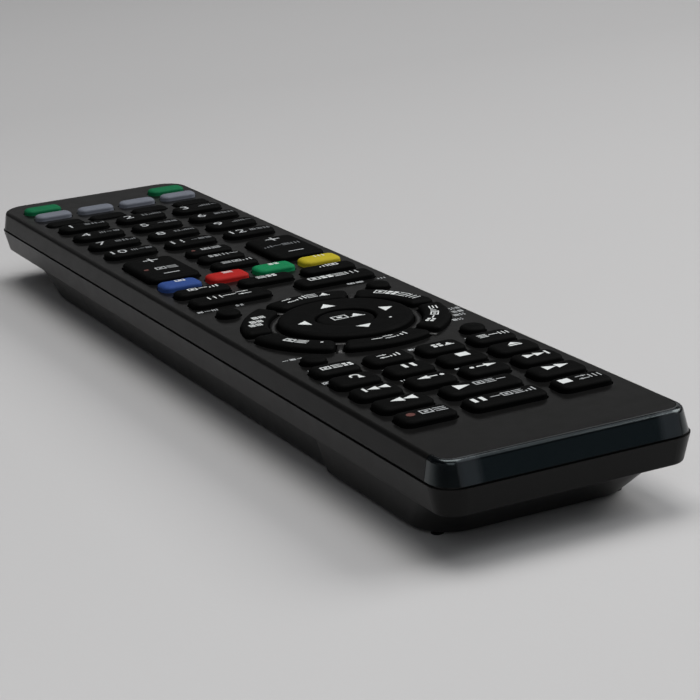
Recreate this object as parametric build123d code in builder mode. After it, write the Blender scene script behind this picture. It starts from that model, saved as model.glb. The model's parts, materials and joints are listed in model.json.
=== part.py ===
from build123d import *
import os
from math import atan, cos, degrees, radians, sin

# A slim battery-powered remote control, lying on its back.
# Millimetres. X runs across, +Y runs from the near end to the power keys,
# +Z points out of the key face. The origin is at the middle of the footprint, on the table.

# Key field, across
column_key_width = 9.3
column_gap = 2.1
row_inset = 0.2
number_gap = 2.55
play_key_width = 15.6
play_gap = 2.9
wide_gap = 6.8
middle_key_width = 11.0
middle_gap = 3.85
side_margin = 3.25

# Key field, from the near end of the face upwards
near_margin = 18.7
transport_depth = 6.2
transport_gap = 2.3
transport_rows = 5
ring_gap = 4.65
ring_far_gap = 5.75
wide_depth = 6.0
menu_row_gap = 3.5
menu_depth = 5.0
colour_row_gap = 2.9
colour_depth = 5.8
rocker_row_gap = 2.4
rocker_depth = 20.0
middle_start = 1.25
middle_depth = 4.8
middle_row_gap = 2.7
number_row_gap = 5.55
number_depth = 6.0
number_between = 4.8
number_rows = 4
low_row_gap = 3.9
low_depth = 4.2
light_row_gap = 4.3
light_depth = 4.4
power_row_gap = 3.7
power_depth = 5.0
far_margin = 9.4

# Small round keys beside the ring
round_radius = 2.6
round_side_in = 1.5
round_near_gap = 2.5
round_far_gap = 5.2

# Ring of six keys round the navigation disc
ring_web = 1.3
segment_width = 5.55
segment_count = 6
segment_corner = 1.3
segment_edge = 1.0
centre_key_radius = 6.0
centre_clear = 0.35
disc_edge = 0.9
bore_edge = 0.4
ring_lap = 0.5

# Heights of the keys over the face
key_rise = 1.4
low_key_rise = 0.8
disc_rise = 1.6
disc_dish = 0.25
centre_rise = 1.2

# Shape of the keys
key_corner = 1.7
number_corner = 2.5
rocker_corner = 2.2
key_edge = 0.6
flange_lap = 0.7
flange_thickness = 0.9
key_clear = 0.3
key_travel = 0.8
travel_spare = 0.1
rocker_flange_thickness = 0.6
rocker_flange_drop = 0.7
disc_flange_thickness = 0.5
disc_flange_drop = 0.8
rocker_clear = 0.4
round_edge = 0.6

# Case
top_wall = 1.7
side_wall = 1.4
near_wall = 2.6
floor_wall = 1.4
seam_drop = 4.76
rim_drop = 10.1
seam_out = 1.1
near_out = 1.6
far_out = 1.0
rim_in = 1.2
seam_lip = 0.2
seam_groove = 0.35
edge_radius = 1.0
rim_radius = 0.5
face_near_corner = 4.0
face_far_corner = 6.5
pocket_corner = 3.0
tray_floor = 1.6

# Belly under the case
belly_side_in = 1.9
belly_near_in = 4.1
belly_far_in = 22.3
belly_side_slope = 3.7
belly_near_slope = 9.0
belly_far_slope = 5.0
belly_corner = 8.5
belly_radius = 2.6

# Battery door, which is the near end of the belly
door_length = 48.5
door_wall = 1.4
door_near_wall = 1.8
door_side_slope = 2.3
door_radius = 1.6
door_floor = 0.5
foot_radius = 1.2
foot_in = 3.4
door_gap = 0.15
door_rib_thickness = 1.1
door_rib_reach = 2.0
door_rib_in = 9.0
keeper_length = 12.0
keeper_thickness = 1.0
keeper_foot = 1.2
grip_width = 12.0
grip_ridge = 0.8
grip_pitch = 1.7
grip_count = 5
grip_depth = 0.35
keeper_in = 12.0
run_clear = 0.3

# Cells, two of the small size, side by side
cell_radius = 5.25
cell_length = 44.5
nub_radius = 1.9
nub_height = 0.8
cell_edge = 0.5
cell_spacing = 11.0
cell_side_clear = 0.35
cell_top_clear = 0.1
cell_floor_clear = 0.2
well_wall = 1.2
well_ceiling = 0.8
well_near_in = 2.0
contact_thickness = 0.4
contact_size = 8.0
spring_length = 2.9
spring_radius = 2.6
spring_tip_radius = 1.6
spring_wire = 0.5
spring_turns = 2

# Circuit board, key mat and lamp
board_thickness = 1.0
board_margin = 0.4
board_near = 14.0
board_far_beyond_power = 2.9
board_corner = 1.5
mat_thickness = 0.8
mat_far_short = 1.5
chip_size = 9.0
chip_thickness = 1.1
chip_from_ring = 34.0
crystal_width = 2.4
crystal_length = 6.0
crystal_height = 1.6
crystal_x = 9.5
capacitor_radius = 2.4
capacitor_length = 5.0
capacitor_base = 0.6
capacitor_groove = 0.2
capacitor_x = 8.0
capacitor_from_ring = 16.0
small_part_width = 1.6
small_part_depth = 0.8
small_part_height = 0.5
small_part_pitch = 2.4
small_part_count = 4
small_part_x = 6.5
pocket_rib_thickness = 1.2
pocket_rib_pitch = 26.0
pocket_rib_count = 8
pocket_rib_reach = 1.2
hold_rib_reach = 0.7
lamp_radius = 1.5
lamp_flange = 0.25
lamp_flange_length = 0.8
lamp_length = 4.5
lamp_lead = 0.5
lamp_lead_spacing = 1.3
lamp_clear = 0.4
lamp_lead_length = 1.8

# Windows
window_depth = 1.2
window_side_depth = 0.9
window_wrap = 5.0
window_line = 0.15
window_line_depth = 0.4
far_window_width = 30.0
far_window_top_drop = 1.6
lamp_slot_width = 12.0

# Screws under the battery door
screw_side_in = 9.1
screw_near = 9.0
screw_radius = 1.15
screw_head_radius = 2.1
screw_head_height = 1.1
screw_slot = 0.6
screw_slot_depth = 0.5
screw_reach = 6.5
screw_clear = 0.25
boss_radius = 2.4

# Rubber ring under the navigation disc
seat_inner_clear = 0.6
seat_width = 1.9
seat_thickness = 0.4
seat_drop = 0.35
mat_opening_clear = 2.0

# Widths that follow
field_width = 4 * column_key_width + 3 * column_gap
inner_width = field_width - 2 * row_inset
number_key_width = (inner_width - 2 * number_gap) / 3
play_side_width = (inner_width - play_key_width - 2 * play_gap) / 2
wide_key_width = (inner_width - wide_gap) / 2
rocker_width = (inner_width - middle_key_width - 2 * middle_gap) / 2
face_half = field_width / 2 + side_margin
seam_half = face_half + seam_out
rim_half = seam_half - rim_in
pocket_half = face_half - side_wall
belly_half = seam_half - belly_side_in
belly_floor_half = belly_half - belly_side_slope
door_floor_half = belly_half - door_side_slope

# Columns
four_columns = [(i - 1.5) * (column_key_width + column_gap) for i in range(4)]
number_columns = [(i - 1) * (number_key_width + number_gap) for i in range(3)]
play_x = (play_key_width + play_side_width) / 2 + play_gap
wide_x = (wide_key_width + wide_gap) / 2
rocker_x = (middle_key_width + rocker_width) / 2 + middle_gap
round_x = field_width / 2 - round_side_in - round_radius

# Ring radii, from its opening inwards
ring_hole = field_width / 2
segment_outer = ring_hole - key_clear
segment_inner = segment_outer - segment_width
web_outer = segment_inner - key_clear
disc_hole = web_outer - ring_web
disc_radius = disc_hole - key_clear
disc_bore = centre_key_radius + centre_clear

# Rows, as distances from the near end of the face
transport_pitch = transport_depth + transport_gap
transport_y = [near_margin + transport_depth / 2 + i * transport_pitch for i in range(transport_rows)]
transport_top = transport_y[-1] + transport_depth / 2
ring_y = transport_top + ring_gap + ring_hole
wide_y = ring_y + ring_hole + ring_far_gap + wide_depth / 2
menu_y = wide_y + (wide_depth + menu_depth) / 2 + menu_row_gap
colour_y = menu_y + (menu_depth + colour_depth) / 2 + colour_row_gap
rocker_y = colour_y + (colour_depth + rocker_depth) / 2 + rocker_row_gap
middle_pitch = middle_depth + middle_row_gap
middle_low_y = rocker_y - rocker_depth / 2 + middle_start + middle_depth / 2
middle_top = middle_low_y + 2 * middle_pitch + middle_depth / 2
number_pitch = number_depth + number_between
number_low_y = middle_top + number_row_gap + number_depth / 2
number_top = number_low_y + (number_rows - 1) * number_pitch + number_depth / 2
low_y = number_top + low_row_gap + low_depth / 2
light_y = low_y + (low_depth + light_depth) / 2 + light_row_gap
power_y = light_y + (light_depth + power_depth) / 2 + power_row_gap
face_length = power_y + power_depth / 2 + far_margin
round_near_y = transport_top + round_near_gap + round_radius
round_far_y = wide_y - wide_depth / 2 - round_far_gap - round_radius

# Heights, from the table up
cell_z = floor_wall + cell_floor_clear + cell_radius
well_top = cell_z + cell_radius + cell_top_clear
board_z = well_top + well_ceiling
mat_z = board_z + board_thickness
flange_z = mat_z + mat_thickness + travel_spare + key_travel
under_face = flange_z + flange_thickness + key_clear
face_z = under_face + top_wall
seam_z = face_z - seam_drop
rim_z = face_z - rim_drop
tray_z = rim_z + tray_floor
rocker_flange_z = under_face - rocker_flange_drop - rocker_flange_thickness
disc_flange_z = under_face - disc_flange_drop - disc_flange_thickness

# Ends, with the seam's outline centred on the origin
case_length = face_length + near_out + far_out
near_end = -case_length / 2
far_end = case_length / 2
face_near = near_end + near_out
face_far = far_end - far_out
rim_near = near_end + near_out - (near_out - far_out) / 2
belly_near = near_end + belly_near_in
belly_far = far_end - belly_far_in
door_end = belly_near + door_length
well_near = belly_near + belly_near_slope + well_near_in
well_length = cell_length + contact_thickness + spring_length + contact_thickness
well_far = well_near + well_length
board_near_y = face_near + board_near
board_far_y = face_near + power_y + power_depth / 2 + board_far_beyond_power
mat_far_y = board_far_y - mat_far_short
pocket_near = face_near + near_wall
pocket_far = face_far - side_wall
ring_centre = (0, face_near + ring_y)
well_half = cell_spacing / 2 + cell_radius + cell_side_clear
screw_x = seam_half - screw_side_in
screw_y = face_near + screw_near
rib_x = belly_half - door_wall - door_rib_reach
rib_low = rim_z - run_clear - door_rib_thickness
keeper_x = rib_x - run_clear
keeper_low = rib_low - run_clear - keeper_thickness
lamp_tip = face_far - window_depth - run_clear
lamp_z = under_face - lamp_radius - lamp_clear
past = 5.0


def plan(height, half, near, far, near_corner, far_corner):
    """Face of a straight-sided outline with rounded ends at one height."""
    with BuildSketch(Plane.XY.offset(height)) as outline:
        with Locations((0, (near + far) / 2)):
            Rectangle(2 * half, far - near)
        by_length = outline.vertices().group_by(Axis.Y)
        fillet(by_length[0], near_corner)
        fillet(outline.vertices().group_by(Axis.Y)[-1], far_corner)
    return outline.sketch


def sector(height, inner, outer, rib, corner, turn):
    """Face of one ring segment, half a rib away from each of its two boundaries."""
    margin = degrees(rib / 2 / outer)
    span = 360 / segment_count - 2 * margin
    start, end = radians(margin), radians(margin + span)
    with BuildSketch(Plane((*ring_centre, height)).rotated((0, 0, turn))) as outline:
        with BuildLine():
            CenterArc((0, 0), inner, margin, span)
            CenterArc((0, 0), outer, margin, span)
            Line((inner * cos(start), inner * sin(start)), (outer * cos(start), outer * sin(start)))
            Line((inner * cos(end), inner * sin(end)), (outer * cos(end), outer * sin(end)))
        make_face()
        fillet(outline.vertices(), corner)
    return outline.sketch


def window_zone(height, end_line, back_line):
    """Face of the near window's zone at one height, with lines beyond its ends and behind it."""
    reach = window_wrap + near_out + end_line
    with BuildSketch(Plane.XY.offset(height)) as zone:
        with Locations((0, near_end + (reach - past) / 2)):
            Rectangle(2 * seam_half + past, reach + past)
        add(
            plan(height, face_half - window_side_depth - back_line,
                 face_near + window_depth + back_line, face_far,
                 face_near_corner - window_side_depth - back_line, pocket_corner),
            mode=Mode.SUBTRACT,
        )
    return zone.sketch


def save(shape, name):
    """Label a finished piece and write it to its own file."""
    shape.part.label = name
    export_step(shape.part, f"parts/{name}.step")


def at(columns, row):
    """Places of keys in one row, from their columns and the row's distance up the face."""
    return [(x, face_near + row) for x in columns]


# Node name: places, width, depth, corner, rise
block_keys = {}

play_columns = (-play_x, 0, play_x)
low_names = ("record_key", "pause_key", "stop_key")
high_names = ("rewind_key", "play_key", "forward_key")
for row, names in zip(transport_y, (low_names, high_names)):
    for x, width, name in zip(
        play_columns, (play_side_width, play_key_width, play_side_width), names
    ):
        block_keys[name] = (at([x], row), width, transport_depth, key_corner, key_rise)

skip_names = ("previous_key", "replay_key", "skip_key", "next_key")
deck_names = ("loop_key", "deck_pause_key", "deck_stop_key", "eject_key")
for row, names in zip(transport_y[2:], (skip_names, deck_names)):
    for x, name in zip(four_columns, names):
        block_keys[name] = (at([x], row), column_key_width, transport_depth, key_corner, key_rise)

block_keys["option_keys"] = (
    at(four_columns, transport_y[-1]), column_key_width, transport_depth, key_corner, key_rise
)
for x, name in zip(four_columns, ("blue_key", "red_key", "green_key", "yellow_key")):
    block_keys[name] = (at([x], colour_y), column_key_width, colour_depth, key_corner, key_rise)

for x, name in ((-rocker_x, "rocker_left"), (rocker_x, "rocker_right")):
    block_keys[name] = (at([x], rocker_y), rocker_width, rocker_depth, rocker_corner, key_rise)

middle_places = [(0, face_near + middle_low_y + i * middle_pitch) for i in range(3)]
block_keys["middle_keys"] = (middle_places, middle_key_width, middle_depth, key_corner, key_rise)

for i in range(3 * number_rows):
    row_from_top, column = divmod(i, 3)
    row = number_low_y + (number_rows - 1 - row_from_top) * number_pitch
    block_keys[f"number_{i + 1}_key"] = (
        at([number_columns[column]], row), number_key_width, number_depth, number_corner, key_rise
    )

block_keys["low_keys"] = (at(four_columns, low_y), column_key_width, low_depth, key_corner, low_key_rise)
block_keys["light_keys"] = (at(four_columns, light_y), column_key_width, light_depth, key_corner, key_rise)
for x, name in ((four_columns[0], "power_left_key"), (four_columns[-1], "power_right_key")):
    block_keys[name] = (at([x], power_y), column_key_width, power_depth, key_corner, key_rise)

menu_places = at(number_columns, menu_y)
wide_places = at((-wide_x, wide_x), wide_y)
round_places = at((-round_x, round_x), round_near_y) + at((-round_x, round_x), round_far_y)
rockers = ("rocker_left", "rocker_right")


def block(places, width, depth, corner, rise, tilts):
    """Rounded rectangular keys, each a soft-edged cap on a flange that stops behind the case's face."""
    low = rocker_flange_z if tilts else flange_z
    thickness = rocker_flange_thickness if tilts else flange_thickness
    with BuildPart() as key:
        with BuildSketch(Plane.XY.offset(low)):
            with Locations(*places):
                Rectangle(width + 2 * flange_lap, depth + 2 * flange_lap)
        extrude(amount=thickness)
        with BuildSketch(Plane.XY.offset(low)):
            with Locations(*places):
                RectangleRounded(width, depth, corner)
        extrude(amount=face_z + rise - low)
        chamfer(key.faces().group_by(Axis.Z)[-1].edges(), key_edge)
    return key


os.makedirs("parts", exist_ok=True)

# Keys with rounded rectangular caps
for name, (places, width, depth, corner, rise) in block_keys.items():
    save(block(places, width, depth, corner, rise, name in rockers), name)

# Menu keys: a row of three over a row of two wide ones, one strip of rubber
with BuildPart() as menu_keys:
    for places, width, depth in (
        (menu_places, number_key_width, menu_depth), (wide_places, wide_key_width, wide_depth)
    ):
        with BuildSketch(Plane.XY.offset(flange_z)):
            with Locations(*places):
                Rectangle(width + 2 * flange_lap, depth + 2 * flange_lap)
        extrude(amount=flange_thickness)
        with BuildSketch(Plane.XY.offset(flange_z)):
            with Locations(*places):
                RectangleRounded(width, depth, key_corner)
        extrude(amount=face_z + key_rise - flange_z)
    chamfer(menu_keys.faces().group_by(Axis.Z)[-1].edges(), key_edge)
save(menu_keys, "menu_keys")

# Round keys
with BuildPart() as round_keys:
    with BuildSketch(Plane.XY.offset(flange_z)):
        with Locations(*round_places):
            Circle(round_radius + flange_lap)
    extrude(amount=flange_thickness)
    with BuildSketch(Plane.XY.offset(flange_z)):
        with Locations(*round_places):
            Circle(round_radius)
    extrude(amount=face_z + key_rise - flange_z)
    chamfer(round_keys.faces().group_by(Axis.Z)[-1].edges(), round_edge)
save(round_keys, "round_keys")

# Ring keys, six curved blocks round the disc
for i in range(segment_count):
    turn = 360 / segment_count * i
    cap_rib = ring_web + 2 * key_clear
    with BuildPart() as ring_key:
        extrude(
            sector(flange_z, segment_inner - ring_lap, segment_outer + ring_lap,
                   cap_rib - 2 * ring_lap, segment_corner, turn),
            amount=flange_thickness,
        )
        extrude(
            sector(flange_z, segment_inner, segment_outer, cap_rib, segment_corner, turn),
            amount=face_z + key_rise - flange_z,
        )
        chamfer(ring_key.faces().sort_by(Axis.Z)[-1].edges(), segment_edge)
    save(ring_key, f"ring_key_{i + 1}")

# Navigation disc, dished round its centre key
with BuildPart() as nav_disc:
    with BuildSketch(Plane.XZ.offset(-ring_centre[1])) as profile:
        with BuildLine():
            Polyline(
                (disc_bore, disc_flange_z),
                (disc_radius + ring_lap, disc_flange_z),
                (disc_radius + ring_lap, disc_flange_z + disc_flange_thickness),
                (disc_radius, disc_flange_z + disc_flange_thickness),
                (disc_radius, face_z + disc_rise),
                (disc_bore, face_z + disc_rise - disc_dish),
                close=True,
            )
        make_face()
        fillet(profile.vertices().sort_by(Axis.Y)[-1], disc_edge)
        chamfer(profile.vertices().group_by(Axis.X)[0].sort_by(Axis.Y)[-1], bore_edge)
    revolve(axis=Axis((*ring_centre, 0), (0, 0, 1)))
save(nav_disc, "nav_disc")

# Centre key
with BuildPart() as centre_key:
    with BuildSketch(Plane((*ring_centre, flange_z))):
        Circle(centre_key_radius)
    extrude(amount=face_z + centre_rise - flange_z)
    chamfer(centre_key.faces().sort_by(Axis.Z)[-1].edges(), round_edge)
save(centre_key, "centre_key")

# Rubber ring that carries the disc
seat_bore = centre_key_radius + seat_inner_clear
with BuildPart() as nav_seat:
    with BuildSketch(Plane((*ring_centre, disc_flange_z - seat_drop - seat_thickness))):
        Circle(seat_bore + seat_width)
        Circle(seat_bore, mode=Mode.SUBTRACT)
    extrude(amount=seat_thickness)
save(nav_seat, "nav_seat")

# Outer form of the upper shell: sides that lean out to the seam, with a rounded top edge
seam_top = plan(
    seam_z, seam_half - seam_lip, near_end + seam_lip, far_end - seam_lip,
    face_near_corner + seam_out, face_far_corner + seam_out,
)
face_plan = plan(face_z, face_half, face_near, face_far, face_near_corner, face_far_corner)
with BuildPart() as top_form:
    loft([seam_top, face_plan])
    fillet(top_form.faces().sort_by(Axis.Z)[-1].edges(), edge_radius)

# Smoked window across the near end, wrapped round both corners and up over the edge of the face
with BuildPart() as end_window:
    add(top_form.part)
    extrude(window_zone(seam_z + seam_groove, 0, 0), amount=seam_drop, mode=Mode.INTERSECT)
save(end_window, "end_window")

# Infrared window at the far end
with BuildPart() as ir_window:
    add(top_form.part)
    with BuildSketch(Plane.XY.offset(seam_z + seam_groove)):
        with Locations((0, face_far - window_depth + past / 2)):
            Rectangle(far_window_width, past)
    extrude(amount=face_z - far_window_top_drop - seam_z - seam_groove, mode=Mode.INTERSECT)
save(ir_window, "ir_window")

# Upper shell
with BuildPart() as top_case:
    add(top_form.part)
    extrude(
        plan(seam_z, pocket_half, pocket_near, pocket_far, pocket_corner, pocket_corner),
        amount=under_face - seam_z, mode=Mode.SUBTRACT,
    )
    # Shadow line above the seam
    with BuildSketch(Plane.XY.offset(seam_z)):
        Rectangle(2 * seam_half + past, case_length + past)
        add(
            plan(seam_z, seam_half - seam_lip - seam_groove, near_end + seam_lip + seam_groove,
                 far_end - seam_lip - seam_groove, face_near_corner, face_far_corner),
            mode=Mode.SUBTRACT,
        )
    extrude(amount=seam_groove, mode=Mode.SUBTRACT)
    # Openings for the keys
    with BuildSketch(Plane.XY.offset(under_face)):
        for name, (places, width, depth, corner, rise) in block_keys.items():
            clear = rocker_clear if name in rockers else key_clear
            with Locations(*places):
                RectangleRounded(width + 2 * clear, depth + 2 * clear, corner + clear)
        for places, width, depth in (
            (menu_places, number_key_width, menu_depth), (wide_places, wide_key_width, wide_depth)
        ):
            with Locations(*places):
                RectangleRounded(width + 2 * key_clear, depth + 2 * key_clear, key_corner + key_clear)
        with Locations(*round_places):
            Circle(round_radius + key_clear)
        with Locations(ring_centre):
            Circle(disc_hole)
        for i in range(segment_count):
            add(sector(under_face, web_outer, ring_hole, ring_web, segment_corner + key_clear,
                       360 / segment_count * i))
    extrude(amount=top_wall, mode=Mode.SUBTRACT)
    # Seats of the two windows, with a fine dark line round the near one
    extrude(window_zone(seam_z + seam_groove, window_line, 0), amount=seam_drop, mode=Mode.SUBTRACT)
    extrude(
        window_zone(face_z - window_line_depth, window_line, window_line),
        amount=seam_drop, mode=Mode.SUBTRACT,
    )
    add(ir_window.part, mode=Mode.SUBTRACT)
    # Slot between the far window and the lamp
    with BuildSketch(Plane.XY.offset(seam_z)):
        with Locations((0, (pocket_far + face_far) / 2 - window_depth / 2)):
            Rectangle(lamp_slot_width, face_far - window_depth - pocket_far + 2 * window_depth)
    extrude(amount=face_z - far_window_top_drop - seam_z, mode=Mode.SUBTRACT)
    # Ribs that hold the edge of the mat down
    with BuildSketch(Plane.XY.offset(mat_z + mat_thickness)):
        with GridLocations(2 * pocket_half - hold_rib_reach, pocket_rib_pitch, 2, pocket_rib_count):
            Rectangle(hold_rib_reach, pocket_rib_thickness)
    extrude(amount=under_face - mat_z - mat_thickness)
    # Screw bosses, which reach down to the tray of the lower shell
    with BuildSketch(Plane.XY.offset(tray_z)):
        with Locations((-screw_x, screw_y), (screw_x, screw_y)):
            Circle(boss_radius)
            Circle(screw_radius, mode=Mode.SUBTRACT)
    extrude(amount=under_face - tray_z)
save(top_case, "top_case")

# Belly under the lower shell, from the door to the far end
belly_top = plan(
    tray_z, belly_half + belly_side_slope * tray_floor / rim_z, belly_near,
    belly_far + belly_far_slope * tray_floor / rim_z, belly_corner, belly_corner,
)
belly_floor = plan(
    0, belly_floor_half, belly_near + belly_near_slope, belly_far - belly_far_slope,
    belly_corner, belly_corner,
)
with BuildPart() as belly_form:
    loft([belly_top, belly_floor])
    fillet(belly_form.faces().sort_by(Axis.Z)[0].edges(), belly_radius)
    split(bisect_by=Plane.XZ.offset(-door_end), keep=Keep.BOTTOM)

# Lower shell: rim, belly, battery well and board seats
with BuildPart() as bottom_case:
    loft([
        plan(rim_z, rim_half, rim_near, far_end - rim_in, face_near_corner, face_far_corner),
        plan(seam_z, seam_half, near_end, far_end,
             face_near_corner + seam_out, face_far_corner + seam_out),
    ])
    fillet(bottom_case.faces().sort_by(Axis.Z)[0].edges(), rim_radius)
    add(belly_form.part)
    # Tray that holds the board
    extrude(
        plan(tray_z, pocket_half, pocket_near, pocket_far, pocket_corner, pocket_corner),
        amount=seam_z - tray_z, mode=Mode.SUBTRACT,
    )
    # Hollow of the belly beyond the battery well
    loft([
        plan(floor_wall, belly_floor_half - belly_radius, well_far + 2 * well_wall,
             belly_far - belly_far_slope - belly_radius, pocket_corner, belly_corner),
        plan(tray_z, belly_half - belly_radius, well_far + 2 * well_wall,
             belly_far - belly_radius, pocket_corner, belly_corner),
    ], mode=Mode.SUBTRACT)
    # Hollows beside the battery well
    hollow_half = belly_floor_half - belly_radius
    with BuildSketch(Plane.XY.offset(floor_wall)):
        for side in (-1, 1):
            middle_x = side * (well_half + well_wall + hollow_half) / 2
            with Locations((middle_x, (door_end + well_far) / 2 + well_wall)):
                Rectangle(hollow_half - well_half - well_wall, well_far - door_end - well_wall)
    extrude(amount=tray_z - floor_wall, mode=Mode.SUBTRACT)
    # Battery well: walls and ceiling, then the space inside
    with BuildSketch(Plane.XY.offset(floor_wall + run_clear)):
        with Locations((0, (well_near + well_far) / 2)):
            Rectangle(2 * (well_half + well_wall), well_length + 2 * well_wall)
    extrude(amount=board_z - floor_wall - run_clear)
    with BuildSketch(Plane.XY.offset(floor_wall)):
        with Locations((0, (well_near + well_far) / 2)):
            Rectangle(2 * well_half, well_length)
    extrude(amount=well_top - floor_wall, mode=Mode.SUBTRACT)
    # Ribs beside the tray that carry the edge of the board
    with BuildSketch(Plane.XY.offset(tray_z)):
        with GridLocations(2 * pocket_half - pocket_rib_reach, pocket_rib_pitch, 2, pocket_rib_count):
            Rectangle(pocket_rib_reach, pocket_rib_thickness)
    extrude(amount=board_z - tray_z)
    # Keepers that the ribs of the battery door slide over
    for side in (-1, 1):
        with BuildSketch(Plane.XZ.offset(-(belly_near + keeper_in))):
            with Locations((side * (keeper_x - keeper_thickness / 2), (rim_z + keeper_low) / 2)):
                Rectangle(keeper_thickness, rim_z - keeper_low)
            with Locations((side * (keeper_x + keeper_foot / 2), keeper_low + keeper_thickness / 2)):
                Rectangle(keeper_foot, keeper_thickness)
        extrude(amount=-keeper_length)
    # Holes for the screws
    with BuildSketch(Plane.XY.offset(rim_z)):
        with Locations((-screw_x, screw_y), (screw_x, screw_y)):
            Circle(screw_radius + screw_clear)
    extrude(amount=tray_floor, mode=Mode.SUBTRACT)
save(bottom_case, "bottom_case")

# Battery door: the near end of the belly, open at the back, with ribs that slide on the keepers
with BuildPart() as battery_door:
    loft([
        plan(rim_z - door_gap, belly_half, belly_near, door_end + past, belly_corner, door_radius),
        plan(door_floor, door_floor_half, belly_near + belly_near_slope, door_end + past,
             belly_corner, door_radius),
    ])
    fillet(battery_door.faces().sort_by(Axis.Z)[0].edges(), door_radius)
    loft([
        plan(rim_z, belly_half - door_wall, belly_near + door_near_wall, door_end + 2 * past,
             belly_corner - door_wall, door_radius),
        plan(floor_wall, door_floor_half - door_wall,
             belly_near + door_near_wall + belly_near_slope * (1 - floor_wall / rim_z),
             door_end + 2 * past, belly_corner - door_wall, door_radius),
    ], mode=Mode.SUBTRACT)
    for side in (-1, 1):
        with BuildSketch(Plane.XZ.offset(-(belly_near + door_rib_in))):
            with Locations((side * (rib_x + (door_rib_reach + door_wall / 2) / 2),
                            rib_low + door_rib_thickness / 2)):
                Rectangle(door_rib_reach + door_wall / 2, door_rib_thickness)
        extrude(amount=-(door_length - door_rib_in))
    split(bisect_by=Plane.XZ.offset(-(door_end - door_gap)), keep=Keep.TOP)
    # Feet at the near corners, level with the rest of the belly
    with BuildSketch():
        for side in (-1, 1):
            with Locations((side * (door_floor_half - foot_in), belly_near + belly_near_slope + foot_in)):
                Circle(foot_radius)
    extrude(amount=floor_wall)
    # Thumb ridges, cut into the floor
    with BuildSketch(Plane.XY.offset(door_floor)):
        with Locations((0, (belly_near + belly_near_slope + door_end) / 2)):
            with GridLocations(0, grip_pitch, 1, grip_count):
                Rectangle(grip_width, grip_ridge)
    extrude(amount=grip_depth, mode=Mode.SUBTRACT)
save(battery_door, "battery_door")

# Two cells, head to tail
with BuildPart() as batteries:
    for x, start, up in (
        (-cell_spacing / 2, well_near + contact_thickness + cell_length, -1),
        (cell_spacing / 2, well_far - contact_thickness - cell_length, 1),
    ):
        base = Plane((x, start, cell_z), x_dir=(1, 0, 0), z_dir=(0, 0, up))
        shoulder = cell_length - nub_height
        with BuildSketch(base):
            with BuildLine():
                Polyline(
                    (0, 0), (0, cell_length), (nub_radius, cell_length), (nub_radius, shoulder),
                    (cell_radius - cell_edge, shoulder), (cell_radius, shoulder - cell_edge),
                    (cell_radius, cell_edge), (cell_radius - cell_edge, 0), close=True,
                )
            make_face()
        revolve(axis=Axis((x, start, cell_z), (0, 1, 0)))
save(batteries, "batteries")

# Battery contacts: plates at both ends of the well and a tapered spring behind each cell
taper = degrees(atan((spring_radius - spring_tip_radius) / spring_length))
with BuildPart() as battery_contacts:
    for x in (-cell_spacing / 2, cell_spacing / 2):
        with Locations((x, well_near + contact_thickness / 2, cell_z)):
            Box(contact_size, contact_thickness, contact_size)
    with Locations((0, well_far - contact_thickness / 2, cell_z)):
        Box(contact_size + cell_spacing, contact_thickness, contact_size)
    for x, y, way in (
        (-cell_spacing / 2, well_far - contact_thickness, -1),
        (cell_spacing / 2, well_near + contact_thickness, 1),
    ):
        coil_length = spring_length - spring_wire
        with BuildLine() as coil:
            Helix(
                coil_length / spring_turns, coil_length, spring_radius,
                center=(x, y + way * spring_wire / 2, cell_z), direction=(0, way, 0), cone_angle=-taper,
            )
        with BuildSketch(Plane(origin=coil.line @ 0, z_dir=coil.line % 0)):
            Rectangle(spring_wire, spring_wire)
        sweep(path=coil.line, is_frenet=True)
save(battery_contacts, "battery_contacts")

# Circuit board with its controller, crystal, capacitor and small parts underneath
with BuildPart() as circuit_board:
    extrude(
        plan(board_z, pocket_half - board_margin, board_near_y, board_far_y, board_corner, board_corner),
        amount=board_thickness,
    )
    chip_y = ring_centre[1] + chip_from_ring
    for x, width, depth, height in (
        (0, chip_size, chip_size, chip_thickness),
        (crystal_x, crystal_width, crystal_length, crystal_height),
    ):
        with BuildSketch(Plane.XY.offset(board_z - height)):
            with Locations((x, chip_y)):
                Rectangle(width, depth)
        extrude(amount=height)
    with BuildSketch(Plane.XY.offset(board_z - small_part_height)):
        with Locations((-small_part_x, chip_y)):
            with GridLocations(0, small_part_pitch, 1, small_part_count):
                Rectangle(small_part_width, small_part_depth)
    extrude(amount=small_part_height)
    # Can of the capacitor, with a groove near its base
    capacitor_place = (capacitor_x, ring_centre[1] + capacitor_from_ring)
    for low, high, radius in (
        (capacitor_length, 2 * capacitor_base, capacitor_radius),
        (2 * capacitor_base, capacitor_base, capacitor_radius - capacitor_groove),
        (capacitor_base, 0, capacitor_radius),
    ):
        with BuildSketch(Plane.XY.offset(board_z - low)):
            with Locations(capacitor_place):
                Circle(radius)
        extrude(amount=low - high)
save(circuit_board, "circuit_board")

# Rubber mat under the keys, open under the disc's seat
with BuildPart() as keypad_mat:
    extrude(
        plan(mat_z, pocket_half - board_margin, board_near_y, mat_far_y, board_corner, board_corner),
        amount=mat_thickness,
    )
    with BuildSketch(Plane((*ring_centre, mat_z))):
        Circle(seat_bore + seat_width + mat_opening_clear)
    extrude(amount=mat_thickness, mode=Mode.SUBTRACT)
save(keypad_mat, "keypad_mat")

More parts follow.
